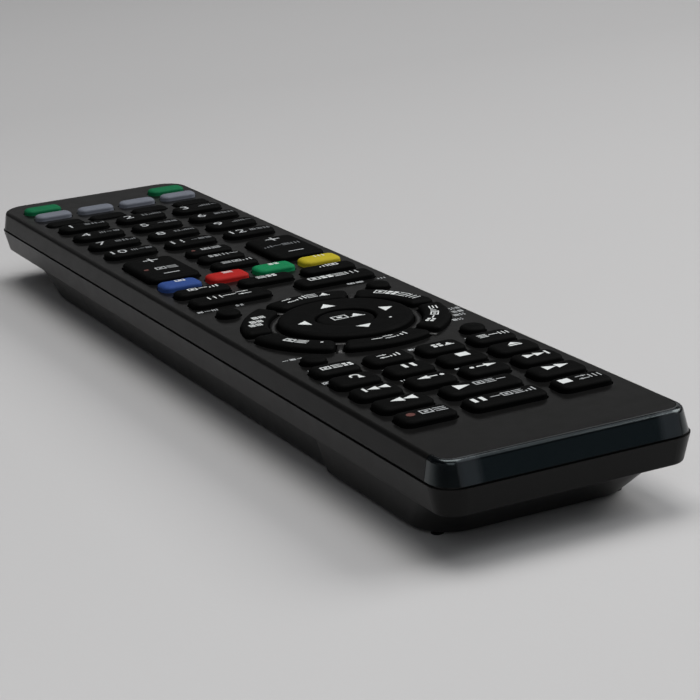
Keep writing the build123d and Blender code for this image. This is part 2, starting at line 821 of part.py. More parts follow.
# Infrared lamp, lying behind its window with its leads on the board
with BuildPart() as ir_lamp:
    with BuildSketch(Plane.XZ.offset(-lamp_tip)):
        with Locations((0, lamp_z)):
            Circle(lamp_radius)
    extrude(amount=lamp_length)
    fillet(ir_lamp.faces().sort_by(Axis.Y)[-1].edges(), lamp_radius - lamp_clear)
    with BuildSketch(Plane.XZ.offset(lamp_length - lamp_tip)):
        with Locations((0, lamp_z)):
            Circle(lamp_radius + lamp_flange)
    extrude(amount=-lamp_flange_length)
    with BuildSketch(Plane.XZ.offset(lamp_length - lamp_tip)):
        with Locations((0, mat_z + lamp_lead / 2)):
            with GridLocations(lamp_lead_spacing, 0, 2, 1):
                Rectangle(lamp_lead, lamp_lead)
    extrude(amount=lamp_lead_length)
save(ir_lamp, "ir_lamp")

# Two screws up through the tray into the bosses
with BuildPart() as case_screws:
    screw_places = ((-screw_x, screw_y), (screw_x, screw_y))
    with BuildSketch(Plane.XY.offset(rim_z - screw_head_height)):
        with Locations(*screw_places):
            Circle(screw_head_radius)
    extrude(amount=screw_head_height)
    with BuildSketch(Plane.XY.offset(rim_z)):
        with Locations(*screw_places):
            Circle(screw_radius)
    extrude(amount=screw_reach)
    with BuildSketch(Plane.XY.offset(rim_z - screw_head_height)):
        with Locations(*screw_places):
            Rectangle(screw_head_radius, screw_slot)
            Rectangle(screw_slot, screw_head_radius)
    extrude(amount=screw_slot_depth, mode=Mode.SUBTRACT)
save(case_screws, "case_screws")
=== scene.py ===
import json
from math import asin, cos, hypot, pi, radians, sin

import bmesh
import bpy
from mathutils import Matrix, Vector


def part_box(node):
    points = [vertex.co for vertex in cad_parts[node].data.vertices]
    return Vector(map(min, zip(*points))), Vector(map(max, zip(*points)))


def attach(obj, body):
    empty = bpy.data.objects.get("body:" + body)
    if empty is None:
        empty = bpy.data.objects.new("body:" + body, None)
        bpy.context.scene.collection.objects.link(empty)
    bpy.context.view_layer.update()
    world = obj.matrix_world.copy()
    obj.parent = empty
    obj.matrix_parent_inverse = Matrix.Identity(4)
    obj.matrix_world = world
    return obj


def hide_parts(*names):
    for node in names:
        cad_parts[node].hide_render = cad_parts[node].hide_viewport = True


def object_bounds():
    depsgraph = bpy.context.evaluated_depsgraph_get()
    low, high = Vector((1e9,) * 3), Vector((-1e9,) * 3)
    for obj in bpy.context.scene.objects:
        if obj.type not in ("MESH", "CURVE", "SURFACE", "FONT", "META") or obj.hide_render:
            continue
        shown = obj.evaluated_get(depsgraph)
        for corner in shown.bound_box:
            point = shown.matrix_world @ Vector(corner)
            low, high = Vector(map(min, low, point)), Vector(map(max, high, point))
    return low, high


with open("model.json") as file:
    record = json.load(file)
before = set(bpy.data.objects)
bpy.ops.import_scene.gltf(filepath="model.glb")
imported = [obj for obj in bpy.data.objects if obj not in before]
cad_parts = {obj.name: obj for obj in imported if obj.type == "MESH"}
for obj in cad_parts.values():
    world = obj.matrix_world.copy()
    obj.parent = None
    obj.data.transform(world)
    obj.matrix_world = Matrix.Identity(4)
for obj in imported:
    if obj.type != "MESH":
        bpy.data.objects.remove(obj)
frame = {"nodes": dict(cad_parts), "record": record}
cad_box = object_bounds()
record = frame["record"]

# Lengths below are in millimetres unless they say otherwise
MM = 0.001

# Corners of the solids' meshes that are closer than this are one
WELD_DISTANCE = 0.001

# Camera of the photograph: places in metres, and its turn from +Y towards +X, tip down and roll in degrees
CAMERA_PLACE = Vector((-0.18063, -0.40994, 0.13893))
CAMERA_NEAREST = 0.01
CAMERA_TURN = 25.707
CAMERA_TIP = 16.83
CAMERA_ROLL = -3.443
CAMERA_LENS = 109.2
SENSOR_WIDTH = 36.0

# Flanges that hold the keys behind the face
FLANGE_LAP = 0.7
FLANGE_THICKNESS = 0.9
ROCKER_FLANGE_THICKNESS = 0.6
RING_LAP = 0.5
DISC_FLANGE_THICKNESS = 0.5

# Rectangular key caps
KEY_CORNER = 1.7
NUMBER_CORNER = 2.5
ROCKER_CORNER = 2.2
LEAST_CORNER = 0.25
KEY_ROUNDING = 1.25
KEY_FALL = 0.8
KEY_CROWN = 0.07
CROWN_RINGS = (0.8, 0.55, 0.25)
CORNER_STEPS = 7
ROUNDING_STEPS = 7

# Ring keys, disc, centre key and round keys
SEGMENT_COUNT = 6
SEGMENT_SPAN = 2 * pi / SEGMENT_COUNT
SEGMENT_OUTER = 21.45
SEGMENT_INNER = 15.9
SEGMENT_RIB = 1.9
SEGMENT_CORNER = 1.3
SEGMENT_ROUNDING = 1.9
SEGMENT_FALL = 0.95
OUTER_STEPS = 16
INNER_STEPS = 12
DISC_BORE = 6.35
DISC_DISH = 0.25
DISC_ROUNDING = 1.6
DISC_FALL = 0.95
BORE_ROUNDING = 0.5
CENTRE_ROUNDING = 1.3
CENTRE_FALL = 0.6
CENTRE_CROWN = 0.1
ROUND_ROUNDING = 1.1
ROUND_FALL = 0.75
ROUND_CROWN = 0.15
DOME_STEPS = 6
AXIS_RADIUS = 0.02
TURN_STEPS = 120
ROUND_STEPS = 48

# Web of the upper shell between the disc and the ring keys
WEB_INNER = 14.3
WEB_OUTER = 15.6
WEB_RIB = 1.3
WEB_HOLE = 21.75
WEB_SKIN = 0.03

# Printed marks
INK_LIFT = 0.03
INK_DEPTH = 0.04

# Finishes, with wear along the edges of mouldings
NOISE_ROUGHNESS = 0.6
BROAD_DETAIL = 3.0
FINE_DETAIL = 4.0
MOTTLE_RANGE = (0.3, 0.7)
GLOSS_CHANGE = 0.08
COAT_ROUGHNESS = 0.12
BUMP_STRENGTH = 0.5
BEVEL_SAMPLES = 4
WEAR_WIDTH = 0.35
WEAR_FACING = (0.99, 0.9)
WEAR_PATCHES = (0.4, 0.62)
WEAR_LEAST = 0.15
WEAR_GLOSS = 0.75

# Sleeve of a cell: bare metal at both ends, and a pale band inside each
CELL_BARE = 3.2
CELL_BARE_FADE = 0.2
CELL_BAND_IN = 9.0
CELL_BAND_HALF = 1.4
CELL_SLEEVE = (0.05, 0.055, 0.065)
CELL_BAND = (0.5, 0.5, 0.5)
CELL_METAL = (0.55, 0.54, 0.52)

# Smoked acrylic, and the painted reflection at each end of the near window: a paler stretch of its colour,
# from the middle outwards
SMOKED_TONE = (0.0012, 0.0018, 0.0026)
REFLECTION_TONE = (0.022, 0.024, 0.027)
WINDOW_TINT = (0.82, 0.97, 1.0, 1.0)
REFLECTION_START = 19.0
REFLECTION_FADE = 1.6
REFLECTION_END = 22.0
REFLECTION_EDGE = 0.4


def set_inputs(node, **values):
    """Set inputs of a node by name, with underscores for spaces."""
    for name, value in values.items():
        node.inputs[name.replace("_", " ")].default_value = value


def noise(nodes, links, place, scale, detail):
    """Noise texture at a place. The scale is in grains per metre."""
    texture = nodes.new("ShaderNodeTexNoise")
    set_inputs(texture, Scale=scale, Detail=detail, Roughness=NOISE_ROUGHNESS)
    links.new(place, texture.inputs["Vector"])
    return texture.outputs["Fac"]


def mapped(nodes, links, source, from_low, from_high, to_low, to_high):
    """Value moved from one range to another."""
    ranged = nodes.new("ShaderNodeMapRange")
    set_inputs(ranged, From_Min=from_low, From_Max=from_high, To_Min=to_low, To_Max=to_high)
    links.new(source, ranged.inputs["Value"])
    return ranged.outputs["Result"]


def ramp(nodes, links, source, start, end):
    """Nought at the start and one at the end, which may be the lower of the two."""
    return mapped(nodes, links, source, start, end, 0.0, 1.0)


def blended(nodes, links, factor, low, high):
    """Colour between two sources, each a colour or a socket."""
    mix = nodes.new("ShaderNodeMix")
    mix.data_type = "RGBA"
    for name, source in (("A", low), ("B", high)):
        if isinstance(source, bpy.types.NodeSocket):
            links.new(source, mix.inputs[name])
        else:
            mix.inputs[name].default_value = (*source, 1.0)
    links.new(factor, mix.inputs["Factor"])
    return mix.outputs["Result"]


def calculated(nodes, links, operation, *sources):
    """Result of one operation on numbers and sockets."""
    step = nodes.new("ShaderNodeMath")
    step.operation = operation
    for source, target in zip(sources, step.inputs):
        if isinstance(source, bpy.types.NodeSocket):
            links.new(source, target)
        else:
            target.default_value = source
    return step.outputs["Value"]


def axes_of(nodes, links, place):
    """Coordinates of a place, by the names X, Y and Z."""
    axes = nodes.new("ShaderNodeSeparateXYZ")
    links.new(place, axes.inputs["Vector"])
    return axes.outputs


def edge_mask(nodes, links, breaks):
    """One along edges and nought on flats, broken up by a noise value."""
    bevel = nodes.new("ShaderNodeBevel")
    bevel.samples = BEVEL_SAMPLES
    set_inputs(bevel, Radius=WEAR_WIDTH * MM)
    geometry = nodes.new("ShaderNodeNewGeometry")
    facing = nodes.new("ShaderNodeVectorMath")
    facing.operation = "DOT_PRODUCT"
    links.new(bevel.outputs["Normal"], facing.inputs[0])
    links.new(geometry.outputs["Normal"], facing.inputs[1])
    bent_away = ramp(nodes, links, facing.outputs["Value"], *WEAR_FACING)
    patches = mapped(nodes, links, breaks, *WEAR_PATCHES, WEAR_LEAST, 1.0)
    return calculated(nodes, links, "MULTIPLY", bent_away, patches)


def finish(name, colour, roughness, grain=6000.0, relief=0.02, mottle=260.0, change=0.12, specular=0.5,
           coat=0.0, metallic=0.0, worn=0.0):
    """Surface with fine grain in its relief and broad mottling in its colour and gloss.

    Grain and mottling are in grains per metre. The colour varies by the share change, and worn is added
    to it along edges.
    """
    material = bpy.data.materials.new(name)
    material.use_nodes = True
    nodes, links = material.node_tree.nodes, material.node_tree.links
    shader = nodes["Principled BSDF"]
    set_inputs(shader, Metallic=metallic, Specular_IOR_Level=specular, Coat_Weight=coat,
               Coat_Roughness=COAT_ROUGHNESS)
    place = nodes.new("ShaderNodeTexCoord").outputs["Object"]
    broad = noise(nodes, links, place, mottle, BROAD_DETAIL)
    fine = noise(nodes, links, place, grain, FINE_DETAIL)
    darker, paler = ([c * (1 + way * change) for c in colour] for way in (-1, 1))
    tone = blended(nodes, links, broad, darker, paler)
    smoothest, roughest = roughness * (1 - GLOSS_CHANGE), roughness * (1 + GLOSS_CHANGE)
    gloss = mapped(nodes, links, broad, *MOTTLE_RANGE, smoothest, roughest)
    if worn:
        edge = edge_mask(nodes, links, broad)
        tone = blended(nodes, links, edge, tone, [c + worn for c in colour])
        smoother = nodes.new("ShaderNodeMix")
        links.new(edge, smoother.inputs["Factor"])
        links.new(gloss, smoother.inputs["A"])
        set_inputs(smoother, B=roughness * WEAR_GLOSS)
        gloss = smoother.outputs["Result"]
    links.new(tone, shader.inputs["Base Color"])
    links.new(gloss, shader.inputs["Roughness"])
    bump = nodes.new("ShaderNodeBump")
    set_inputs(bump, Strength=BUMP_STRENGTH, Distance=relief * MM)
    links.new(fine, bump.inputs["Height"])
    links.new(bump.outputs["Normal"], shader.inputs["Normal"])
    return material


def workings(material):
    """Nodes, links and shader of a finish, the coordinates on it and the source of its colour."""
    nodes, links = material.node_tree.nodes, material.node_tree.links
    shader = nodes["Principled BSDF"]
    axes = axes_of(nodes, links, nodes["Texture Coordinate"].outputs["Object"])
    return nodes, links, shader, axes, shader.inputs["Base Color"].links[0].from_socket


def coloured_rubber(name, colour, specular=0.06):
    """Matt silicone of a coloured key, a little worn along its edges."""
    return finish(name, colour, 0.55, relief=0.03, specular=specular, worn=0.01)


def print_ink(name, colour, change=0.1):
    """Matt printing ink."""
    return finish(name, colour, 0.6, grain=9000, relief=0.01, mottle=1500, change=change)


def cell_jacket():
    """Dark printed sleeves of both cells, with bare ends and pale bands."""
    material = finish("cell_jacket", CELL_SLEEVE, 0.3, mottle=900, relief=0.004, coat=0.4)
    nodes, links, shader, axes, sleeve = workings(material)
    low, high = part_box("batteries")
    middle, half = (low.y + high.y) / 2, (high.y - low.y) / 2
    offset = calculated(nodes, links, "SUBTRACT", axes["Y"], middle)
    away = calculated(nodes, links, "ABSOLUTE", offset)
    bare = ramp(nodes, links, away, half - CELL_BARE * MM, half - (CELL_BARE - CELL_BARE_FADE) * MM)
    band = calculated(nodes, links, "COMPARE", away, half - CELL_BAND_IN * MM, CELL_BAND_HALF * MM)
    striped = blended(nodes, links, band, sleeve, CELL_BAND)
    links.new(blended(nodes, links, bare, striped, CELL_METAL), shader.inputs["Base Color"])
    links.new(bare, shader.inputs["Metallic"])
    return material


def end_window_acrylic():
    """Smoked acrylic of the near window, with a painted reflection that makes both ends of its front paler.
    """
    material = finish("end_window_acrylic", SMOKED_TONE, 0.18, grain=900, relief=0.001, change=0.05)
    nodes, links, shader, axes, dark = workings(material)
    set_inputs(shader, Specular_Tint=WINDOW_TINT)
    aside = calculated(nodes, links, "ABSOLUTE", axes["X"])
    # Painted reflection: a paler colour across the front between these limits at each end
    inner = ramp(nodes, links, aside, (REFLECTION_START - REFLECTION_FADE) * MM, REFLECTION_START * MM)
    outer = ramp(nodes, links, aside, (REFLECTION_END + REFLECTION_EDGE) * MM, REFLECTION_END * MM)
    both = calculated(nodes, links, "MULTIPLY", inner, outer)
    links.new(blended(nodes, links, both, dark, REFLECTION_TONE), shader.inputs["Base Color"])
    return material


SHELL = finish("shell_plastic", (0.004, 0.004, 0.0039), 0.32, grain=5200, relief=0.015, specular=0.13,
               worn=0.002)
# Painted highlight: lighter, glossier plastic for the sheet laid on the web round the ring keys
WEB_HIGHLIGHT = finish("web_painted_highlight", (0.011, 0.011, 0.011), 0.34, grain=5200, relief=0.01, specular=0.4)
KEY = finish("key_rubber_black", (0.0019, 0.002, 0.002), 0.6, grain=4200, relief=0.03, specular=0.03,
             worn=0.002)
BLUE = coloured_rubber("key_blue", (0.026, 0.062, 0.22))
RED = coloured_rubber("key_red", (0.35, 0.014, 0.012))
GREEN = coloured_rubber("key_green", (0.005, 0.18, 0.067))
YELLOW = coloured_rubber("key_yellow", (0.42, 0.345, 0.02))
LIGHT = coloured_rubber("key_light", (0.138, 0.15, 0.18), specular=0.12)
POWER = coloured_rubber("key_power", (0.006, 0.12, 0.048))
SMOKED = finish("smoked_acrylic", SMOKED_TONE, 0.08, grain=900, relief=0.001, change=0.05, coat=0.2)
BOARD = finish("board_green", (0.02, 0.09, 0.04), 0.4, grain=1500, relief=0.01)
MAT = finish("mat_rubber", (0.05, 0.05, 0.052), 0.75, relief=0.03)
EPOXY = finish("lamp_epoxy", (0.35, 0.4, 0.45), 0.12, relief=0.002, coat=0.5)
CONTACT = finish("contact_steel", (0.62, 0.6, 0.56), 0.28, mottle=2500, relief=0.004, metallic=1.0)
SCREW = finish("screw_steel", (0.12, 0.12, 0.13), 0.35, mottle=2500, relief=0.006, metallic=1.0)
WHITE_INK = print_ink("white_ink", (0.68, 0.71, 0.71), change=0.05)
GREY_INK = print_ink("grey_ink", (0.42, 0.44, 0.45))
DIM_INK = print_ink("dim_ink", (0.17, 0.18, 0.19), change=0.15)
RED_INK = print_ink("red_ink", (0.09, 0.018, 0.012))
NODE_MATERIALS = {
    "top_case": SHELL, "bottom_case": SHELL, "battery_door": SHELL, "end_window": end_window_acrylic(),
    "ir_window": SMOKED, "circuit_board": BOARD, "keypad_mat": MAT, "nav_seat": MAT, "ir_lamp": EPOXY,
    "batteries": cell_jacket(), "battery_contacts": CONTACT, "case_screws": SCREW,
}
KEY_MATERIALS = {
    "blue_key": BLUE, "red_key": RED, "green_key": GREEN, "yellow_key": YELLOW, "light_keys": LIGHT,
    "power_left_key": POWER, "power_right_key": POWER,
}
for node, material in NODE_MATERIALS.items():
    for slot in frame["nodes"][node].material_slots:
        slot.material = material

BODY_OF = {node: body for body, members in record["behaviour"]["bodies"].items() for node in members}


def piece(name, mesh, material, node, replaced=None):
    """Turn a bmesh in metres into a piece on a node's body, with the given material."""
    mesh.normal_update()
    data = bpy.data.meshes.new(name)
    mesh.to_mesh(data)
    mesh.free()
    data.materials.append(material)
    made = bpy.data.objects.new(name, data)
    bpy.context.scene.collection.objects.link(made)
    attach(made, BODY_OF[node])
    if replaced:
        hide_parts(replaced)


def extent(node):
    """Lowest and highest corners of a node, in millimetres."""
    low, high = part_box(node)
    return Vector(low) / MM, Vector(high) / MM


def loose_boxes(node):
    """Corners of each separate solid in a CAD node, in millimetres, far row first and left to right."""
    mesh = bmesh.new()
    mesh.from_mesh(frame["nodes"][node].data)
    bmesh.ops.remove_doubles(mesh, verts=mesh.verts, dist=WELD_DISTANCE * MM)
    left = set(mesh.verts)
    boxes = []
    while left:
        found, edge = set(), {left.pop()}
        while edge:
            found |= edge
            edge = {e.other_vert(v) for v in edge for e in v.link_edges} - found
        left -= found
        low = Vector([min(v.co[i] for v in found) for i in range(3)]) / MM
        high = Vector([max(v.co[i] for v in found) for i in range(3)]) / MM
        boxes.append((low, high))
    mesh.free()
    return sorted(boxes, key=lambda box: (-round(box[0].y, 1), box[0].x))


# Height of the face that the keys stand out of, and the middle of the ring
FACE = extent("top_case")[1].z
ring_low, ring_high = extent("nav_disc")
RING_MIDDLE = (ring_low + ring_high) / 2


# Rectangular keys
def stack(mesh, rings):
    """Closed skin through rings of equally many points, from the bottom ring to the top one."""
    levels = [[mesh.verts.new(Vector(point) * MM) for point in ring] for ring in rings]
    count = len(levels[0])
    for low, high in zip(levels, levels[1:]):
        for i in range(count):
            j = (i + 1) % count
            mesh.faces.new((low[i], low[j], high[j], high[i])).smooth = True
    mesh.faces.new(reversed(levels[0]))
    mesh.faces.new(levels[-1]).smooth = True


def rounded_rectangle(half_x, half_y, corner):
    """Points round a rounded rectangle about the origin, anticlockwise."""
    points = []
    for quarter, (side_x, side_y) in enumerate(((1, 1), (-1, 1), (-1, -1), (1, -1))):
        for step in range(CORNER_STEPS + 1):
            angle = (quarter + step / CORNER_STEPS) * pi / 2
            points.append((side_x * (half_x - corner) + corner * cos(angle),
                           side_y * (half_y - corner) + corner * sin(angle)))
    return points


def rounding(width, fall):
    """Inset and drop of each step of a quarter ellipse, from the side to the top."""
    for step in range(1, ROUNDING_STEPS + 1):
        angle = step / ROUNDING_STEPS * pi / 2
        yield width * (1 - cos(angle)), fall * (1 - sin(angle))


def cap_rings(outline, lap, low, flange, edge, width, fall):
    """Rings of a flanged cap up to the end of its rounding. outline(inset) gives the cap's plan."""
    rings = [[(*p, low) for p in outline(-lap)], [(*p, low + flange) for p in outline(-lap)],
             [(*p, low + flange) for p in outline(0)], [(*p, edge - fall) for p in outline(0)]]
    rings += [[(*p, edge - drop) for p in outline(inset)] for inset, drop in rounding(width, fall)]
    return rings


def block_cap(mesh, box, corner, flange):
    """One rounded rectangular key with a lightly crowned top, from its flange's box."""
    low, high = box
    centre, half = (low + high) / 2, (high - low) / 2

    def outline(inset):
        radius = max(corner - inset, LEAST_CORNER)
        return [(centre.x + x, centre.y + y) for x, y in rounded_rectangle(
            half.x - FLANGE_LAP - inset, half.y - FLANGE_LAP - inset, radius)]

    rings = cap_rings(outline, FLANGE_LAP, low.z, flange, high.z - KEY_CROWN, KEY_ROUNDING, KEY_FALL)
    for share in CROWN_RINGS:
        rings.append([(centre.x + (x - centre.x) * share, centre.y + (y - centre.y) * share,
                       high.z - KEY_CROWN * share * share) for x, y in outline(KEY_ROUNDING)])
    stack(mesh, rings)


def block_top(box):
    """Height of a block key's top at a point."""
    low, high = box
    centre, half = (low + high) / 2, (high - low) / 2
    reach_x, reach_y = half.x - FLANGE_LAP - KEY_ROUNDING, half.y - FLANGE_LAP - KEY_ROUNDING

    def height(x, y):
        share = max(abs(x - centre.x) / reach_x, abs(y - centre.y) / reach_y)
        return high.z - KEY_CROWN * min(share, 1) ** 2

    return height


def corner_of(node):
    """Corner radius of a block key's plan."""
    if node.startswith("number"):
        return NUMBER_CORNER
    return ROCKER_CORNER if node.startswith("rocker") else KEY_CORNER


def is_block(node):
    """Whether a node holds rectangular keys."""
    if node in ("round_keys", "centre_key"):
        return False
    return node.endswith(("_key", "_keys")) or node.startswith("rocker")


KEY_BOXES = {node: loose_boxes(node) for node in frame["nodes"] if is_block(node)}
for node, boxes in KEY_BOXES.items():
    caps = bmesh.new()
    thickness = ROCKER_FLANGE_THICKNESS if node.startswith("rocker") else FLANGE_THICKNESS
    for box in boxes:
        block_cap(caps, box, corner_of(node), thickness)
    piece(f"cap_{node}", caps, KEY_MATERIALS.get(node, KEY), node, node)


# Ring keys
def corner_arc(radius, angle, corner, start, end):
    """Points inside a round corner whose centre is at a radius and angle from the ring's centre."""
    points = []
    for step in range(1, CORNER_STEPS):
        way = start + (end - start) * step / CORNER_STEPS
        points.append((radius * cos(angle) + corner * cos(way), radius * sin(angle) + corner * sin(way)))
    return points


def segment_outline(turn, inset):
    """Plan of a ring key: two arcs, two straight sides half a rib from its boundaries, round corners."""
    outer, inner = SEGMENT_OUTER - inset, SEGMENT_INNER + inset
    side = SEGMENT_RIB / 2 + inset
    corner = max(SEGMENT_CORNER - inset, LEAST_CORNER)
    span = SEGMENT_SPAN
    far, near = outer - corner, inner + corner
    far_turn, near_turn = asin((side + corner) / far), asin((side + corner) / near)
    points = []
    for step in range(OUTER_STEPS + 1):
        angle = far_turn + (span - 2 * far_turn) * step / OUTER_STEPS
        points.append((outer * cos(angle), outer * sin(angle)))
    points += corner_arc(far, span - far_turn, corner, span - far_turn, span + pi / 2)
    points += corner_arc(near, span - near_turn, corner, span + pi / 2, span - near_turn + pi)
    for step in range(INNER_STEPS + 1):
        angle = span - near_turn - (span - 2 * near_turn) * step / INNER_STEPS
        points.append((inner * cos(angle), inner * sin(angle)))
    points += corner_arc(near, near_turn, corner, near_turn + pi, 1.5 * pi)
    points += corner_arc(far, far_turn, corner, -pi / 2, far_turn)
    return [(RING_MIDDLE.x + x * cos(turn) - y * sin(turn), RING_MIDDLE.y + x * sin(turn) + y * cos(turn))
            for x, y in points]


for index in range(SEGMENT_COUNT):
    node = f"ring_key_{index + 1}"
    low, high = extent(node)
    caps = bmesh.new()

    def plan(inset, turn=index * SEGMENT_SPAN):
        return segment_outline(turn, inset)

    stack(caps, cap_rings(plan, RING_LAP, low.z, FLANGE_THICKNESS, high.z, SEGMENT_ROUNDING, SEGMENT_FALL))
    piece(f"cap_{node}", caps, KEY, node, node)


# Turned keys
def turned(mesh, profile, centre, steps):
    """Closed skin of a turned piece. The profile is a loop of radius and height."""
    columns = []
    for step in range(steps):
        angle = 2 * pi * step / steps
        spots = [(centre.x + r * cos(angle), centre.y + r * sin(angle), z) for r, z in profile]
        columns.append([mesh.verts.new(Vector(spot) * MM) for spot in spots])
    for step in range(steps):
        here, there = columns[step], columns[(step + 1) % steps]
        for i in range(len(profile)):
            j = (i + 1) % len(profile)
            mesh.faces.new((here[i], there[i], there[j], here[j])).smooth = True


def dome(radius, high, width, fall, crown):
    """Profile of a round top, from its side in to its axis."""
    points = [(radius, high - crown - fall)]
    points += [(radius - inset, high - crown - drop) for inset, drop in rounding(width, fall)]
    for step in range(1, DOME_STEPS + 1):
        share = 1 - step / DOME_STEPS
        points.append((max((radius - width) * share, AXIS_RADIUS), high - crown * share * share))
    return points


flange_radius = (ring_high.x - ring_low.x) / 2
flange_top = ring_low.z + DISC_FLANGE_THICKNESS
disc_radius = flange_radius - RING_LAP
disc = [(DISC_BORE, ring_low.z), (flange_radius, ring_low.z), (flange_radius, flange_top),
        (disc_radius, flange_top), (disc_radius, ring_high.z - DISC_FALL)]
disc += [(disc_radius - inset, ring_high.z - drop) for inset, drop in rounding(DISC_ROUNDING, DISC_FALL)]
disc += [(DISC_BORE + inset, ring_high.z - DISC_DISH - drop)
         for inset, drop in reversed(list(rounding(BORE_ROUNDING, BORE_ROUNDING)))]
caps = bmesh.new()
turned(caps, disc, RING_MIDDLE, TURN_STEPS)
piece("cap_nav_disc", caps, KEY, "nav_disc", "nav_disc")

centre_low, centre_high = extent("centre_key")
centre_radius = (centre_high.x - centre_low.x) / 2
stem = [(AXIS_RADIUS, centre_low.z), (centre_radius, centre_low.z)]
top = dome(centre_radius, centre_high.z, CENTRE_ROUNDING, CENTRE_FALL, CENTRE_CROWN)
caps = bmesh.new()
turned(caps, stem + top, RING_MIDDLE, TURN_STEPS)
piece("cap_centre_key", caps, KEY, "centre_key", "centre_key")

caps = bmesh.new()
for low, high in loose_boxes("round_keys"):
    radius = (high.x - low.x) / 2 - FLANGE_LAP
    stem = [(AXIS_RADIUS, low.z), (radius + FLANGE_LAP, low.z),
            (radius + FLANGE_LAP, low.z + FLANGE_THICKNESS), (radius, low.z + FLANGE_THICKNESS)]
    top = dome(radius, high.z, ROUND_ROUNDING, ROUND_FALL, ROUND_CROWN)
    turned(caps, stem + top, (low + high) / 2, ROUND_STEPS)
piece("cap_round_keys", caps, KEY, "round_keys", "round_keys")

# Icons: sizes as shares of their box, or as widths of a stroke
STROKE = 0.26
ICON_GAP = 0.34
CORE_SHARE = 1 / 3
STAIR_COUNT = 3
STAIR_WIDTH = 1.3
KNOB_SHARE = 1 / 5
KNOB_WIDTH = 1.4
KNOB_HEIGHT = 2.4
GAUGE_SHARE = 0.7
DOT_STEPS = 20
HOOP_STEPS = 24

# Arrow with a tail: head and tail as length and width, dot as a radius, and the place of each along it
SKIP_HEAD = (2.4, 1.9)
SKIP_TAIL = (1.9, 0.42)
SKIP_DOT = 0.45
SKIP_PLACES = (1.5, -0.6, -2.5)


# Flat outlines, in millimetres, +v away from the user
def bar(u, v, width, height):
    """Rectangle about a point."""
    return [(u - width / 2, v - height / 2), (u + width / 2, v - height / 2),
            (u + width / 2, v + height / 2), (u - width / 2, v + height / 2)]


def dot(u, v, radius):
    """Filled circle."""
    return [(u + radius * cos(2 * pi * i / DOT_STEPS), v + radius * sin(2 * pi * i / DOT_STEPS))
            for i in range(DOT_STEPS)]


def arrow_head(u, v, length, height, way):
    """Triangle that points along way, in degrees from +u."""
    turn = radians(way)
    corners = ((-length / 2, -height / 2), (length / 2, 0), (-length / 2, height / 2))
    return [(u + x * cos(turn) - y * sin(turn), v + x * sin(turn) + y * cos(turn)) for x, y in corners]


def hoop(u, v, radius, wall, start, end):
    """Part of a ring between two angles in degrees, as a run of four-sided outlines."""
    found = []
    for i in range(HOOP_STEPS):
        a = radians(start + (end - start) * i / HOOP_STEPS)
        b = radians(start + (end - start) * (i + 1) / HOOP_STEPS)
        found.append([(u + r * cos(t), v + r * sin(t))
                      for r, t in ((radius - wall, a), (radius, a), (radius, b), (radius - wall, b))])
    return found


def icon(kind, u, v, width, height):
    """Outlines of one plain icon that fills a box about a point. A kind without strokes is a block."""
    left, right = u - (width - STROKE) / 2, u + (width - STROKE) / 2
    low, high = v - (height - STROKE) / 2, v + (height - STROKE) / 2
    rows = [bar(u, row, width, STROKE) for row in (low, v, high)]
    posts = [bar(post, v, STROKE, height) for post in (left, u, right)]
    frame_sides = [rows[0], rows[2], bar(left, v, STROKE, height - 2 * STROKE),
                   bar(right, v, STROKE, height - 2 * STROKE)]
    block = (width - ICON_GAP) / 2, (height - ICON_GAP) / 2
    if kind == "list":
        return rows
    if kind == "bars":
        return posts
    if kind == "frame":
        return frame_sides + [bar(u, v, width * CORE_SHARE, height * CORE_SHARE)]
    if kind == "grid":
        return [bar(u + i * (width - block[0]) / 2, v + j * (height - block[1]) / 2, *block)
                for i in (-1, 1) for j in (-1, 1)]
    if kind == "steps":
        stairs = [height * (i + 1) / STAIR_COUNT for i in range(STAIR_COUNT)]
        pitch = (right - left) / (STAIR_COUNT - 1)
        return [bar(left + i * pitch, v + (tall - height) / 2, STROKE * STAIR_WIDTH, tall)
                for i, tall in enumerate(stairs)]
    if kind == "dash":
        return [bar(u, v, width, STROKE)]
    if kind == "slider":
        knob = (STROKE * KNOB_WIDTH, STROKE * KNOB_HEIGHT)
        reach = width * KNOB_SHARE
        return [rows[0], rows[2], bar(u - reach, low, *knob), bar(u + reach, high, *knob)]
    if kind == "gauge":
        return [rows[0], arrow_head(u, v + STROKE / 2, height - STROKE * 2, width * GAUGE_SHARE, 90)]
    return [bar(u, v, width, height)]


def strip(kinds, u, v, width, height):
    """Row of icons that fills a width."""
    size = (width + ICON_GAP) / len(kinds) - ICON_GAP
    start = u - width / 2 + size / 2
    return [outline for i, kind in enumerate(kinds)
            for outline in icon(kind, start + i * (size + ICON_GAP), v, size, height)]


def skip_arrow(way, v=0.2):
    """Arrow with a long tail that ends in a dot."""
    head, tail, end = (way * place for place in SKIP_PLACES)
    return [arrow_head(head, v, *SKIP_HEAD, 90 - 90 * way), bar(tail, v, *SKIP_TAIL), dot(end, v, SKIP_DOT)]


def double_head(way, u=0.2, v=0.2, length=2.6, height=2.4):
    """Two triangles in a row."""
    return [arrow_head(u + side * length / 2, v, length, height, 90 - 90 * way) for side in (-1, 1)]


def ink(mesh, outline, height):
    """Thin printed film in the shape of an outline, laid on the surface height(x, y)."""
    count = len(outline)
    middle = (sum(x for x, y in outline) / count, sum(y for x, y in outline) / count)
    points = [*outline, middle]
    low = [mesh.verts.new(Vector((x, y, height(x, y) - INK_DEPTH)) * MM) for x, y in points]
    high = [mesh.verts.new(Vector((x, y, height(x, y) + INK_LIFT)) * MM) for x, y in points]
    for i in range(count):
        j = (i + 1) % count
        mesh.faces.new((high[i], high[j], high[-1]))
        mesh.faces.new((low[j], low[i], low[-1]))
        mesh.faces.new((low[i], low[j], high[j], high[i]))


